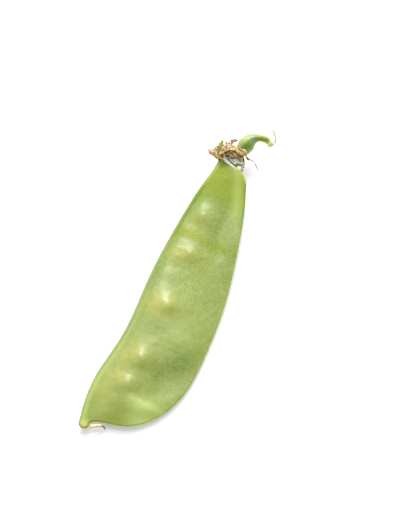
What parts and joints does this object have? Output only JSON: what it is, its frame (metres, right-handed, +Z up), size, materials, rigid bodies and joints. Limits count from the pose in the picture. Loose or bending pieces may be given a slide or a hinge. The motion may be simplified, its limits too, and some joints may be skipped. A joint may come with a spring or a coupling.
{
  "type": "snow pea pod",
  "caption": "Flat green snow pea pod as picked, lying on its side, with pea bumps, dried style and calyx, threads and a bent stalk.",
  "frame": {"origin": "on the surface that the pod lies on, under the middle of the bounding box", "axes": "+X along the pod from the beak to the stalk, +Y towards the suture that carries the peas, +Z up from the surface, through the two flat valves"},
  "size_m": [0.0954, 0.0248, 0.0081],
  "materials": {
    "pod": "satin",
    "style": "matte",
    "calyx": "matte",
    "stamens": "matte",
    "stalk": "satin"
  },
  "bodies": {
    "root": {"pod": "pod", "style": "style", "calyx": "calyx", "stamens": "stamens", "stalk": "stalk"}
  },
  "joints": []
}
